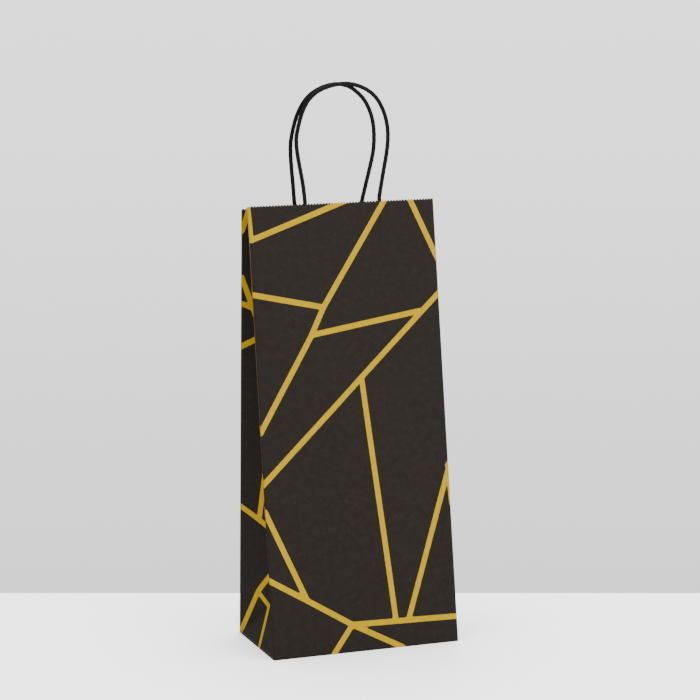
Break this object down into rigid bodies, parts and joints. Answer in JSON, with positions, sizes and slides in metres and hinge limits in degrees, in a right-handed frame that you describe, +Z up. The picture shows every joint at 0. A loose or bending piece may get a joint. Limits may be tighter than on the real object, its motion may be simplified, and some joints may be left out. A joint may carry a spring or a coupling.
{
  "type": "wine gift bag",
  "caption": "Tall block-bottom paper gift bag for a wine bottle, with pinched side gussets, a pinked top edge and twisted-paper cord handles; dark print with an irregular line network.",
  "frame": {"origin": "middle of the bottom, on the surface that the bag stands on", "axes": "+Z up, +X to the bag's right, +Y to its back; the main printed face looks towards -Y"},
  "size_m": [0.14, 0.076, 0.398],
  "materials": {
    "printed_kraft_paper": "matt flexo-printed kraft paper, warm black with an irregular network of yellow lines",
    "bare_kraft_paper": "unprinted brown kraft paper, matt",
    "twisted_paper_cord": "dyed black twisted paper cord, matt"
  },
  "bodies": {
    "bag_base": {"bottom_front_flap": "printed_kraft_paper", "bottom_rear_flap": "printed_kraft_paper", "bottom_left_tuck": "bare_kraft_paper", "bottom_right_tuck": "bare_kraft_paper", "back_panel": "printed_kraft_paper", "glue_seam_flap": "printed_kraft_paper", "rear_patch_outer": "bare_kraft_paper", "rear_patch_inner": "bare_kraft_paper", "rear_handle_left_end": "twisted_paper_cord", "rear_handle_right_end": "twisted_paper_cord"},
    "front_wall": {"front_panel": "printed_kraft_paper", "front_patch_outer": "bare_kraft_paper", "front_patch_inner": "bare_kraft_paper", "front_handle_left_end": "twisted_paper_cord", "front_handle_right_end": "twisted_paper_cord"},
    "front_handle": {"front_handle_loop": "twisted_paper_cord"},
    "rear_handle": {"rear_handle_loop": "twisted_paper_cord"},
    "left_rear_gusset": {"left_gusset_rear_half": "printed_kraft_paper"},
    "left_front_gusset": {"left_gusset_front_half": "printed_kraft_paper"},
    "left_corner": {"left_bottom_triangle": "printed_kraft_paper"},
    "right_rear_gusset": {"right_gusset_rear_half": "printed_kraft_paper"},
    "right_front_gusset": {"right_gusset_front_half": "printed_kraft_paper"},
    "right_corner": {"right_bottom_triangle": "printed_kraft_paper"}
  },
  "joints": [
    {"name": "mouth_open", "type": "hinge", "parent": "bag_base", "child": "front_wall", "pos_m": [0, -0.038, 0], "axis": [1, 0, 0], "range_deg": [0, 9.45]},
    {"name": "left_rear_gusset_fold", "type": "hinge", "parent": "bag_base", "child": "left_rear_gusset", "pos_m": [-0.07, 0.038, 0], "axis": [0, -0.0349, 0.9994], "range_deg": [-50, 0], "deforming": ["left_gusset_rear_half"]},
    {"name": "left_front_gusset_fold", "type": "hinge", "parent": "front_wall", "child": "left_front_gusset", "pos_m": [-0.07, -0.038, 0], "axis": [0, 0.1642, 0.9864], "range_deg": [0, 50], "deforming": ["left_gusset_front_half"]},
    {"name": "left_corner_fold", "type": "hinge", "parent": "bag_base", "child": "left_corner", "pos_m": [-0.07, 0, 0], "axis": [0, 1, 0], "range_deg": [-15.6, 0]},
    {"name": "right_rear_gusset_fold", "type": "hinge", "parent": "bag_base", "child": "right_rear_gusset", "pos_m": [0.07, 0.038, 0], "axis": [0, -0.0349, 0.9994], "range_deg": [0, 50], "deforming": ["right_gusset_rear_half"]},
    {"name": "right_front_gusset_fold", "type": "hinge", "parent": "front_wall", "child": "right_front_gusset", "pos_m": [0.07, -0.038, 0], "axis": [0, 0.1642, 0.9864], "range_deg": [-50, 0], "deforming": ["right_gusset_front_half"]},
    {"name": "right_corner_fold", "type": "hinge", "parent": "bag_base", "child": "right_corner", "pos_m": [0.07, 0, 0], "axis": [0, 1, 0], "range_deg": [0, 15.6]},
    {"name": "front_handle_swing", "type": "hinge", "parent": "front_wall", "child": "front_handle", "pos_m": [0, 0.01722, 0.31531], "axis": [1, 0, 0], "range_deg": [0, 75]},
    {"name": "rear_handle_swing", "type": "hinge", "parent": "bag_base", "child": "rear_handle", "pos_m": [0, 0.02378, 0.31267], "axis": [-1, 0, 0], "range_deg": [0, 75]}
  ],
  "couplings": [
    {"joint": "left_rear_gusset_fold", "follows": "mouth_open", "ratio": -5.2381},
    {"joint": "left_front_gusset_fold", "follows": "mouth_open", "ratio": 5.2381},
    {"joint": "left_corner_fold", "follows": "mouth_open", "ratio": -1.5979},
    {"joint": "right_rear_gusset_fold", "follows": "mouth_open", "ratio": 5.2381},
    {"joint": "right_front_gusset_fold", "follows": "mouth_open", "ratio": -5.2381},
    {"joint": "right_corner_fold", "follows": "mouth_open", "ratio": 1.5979}
  ]
}
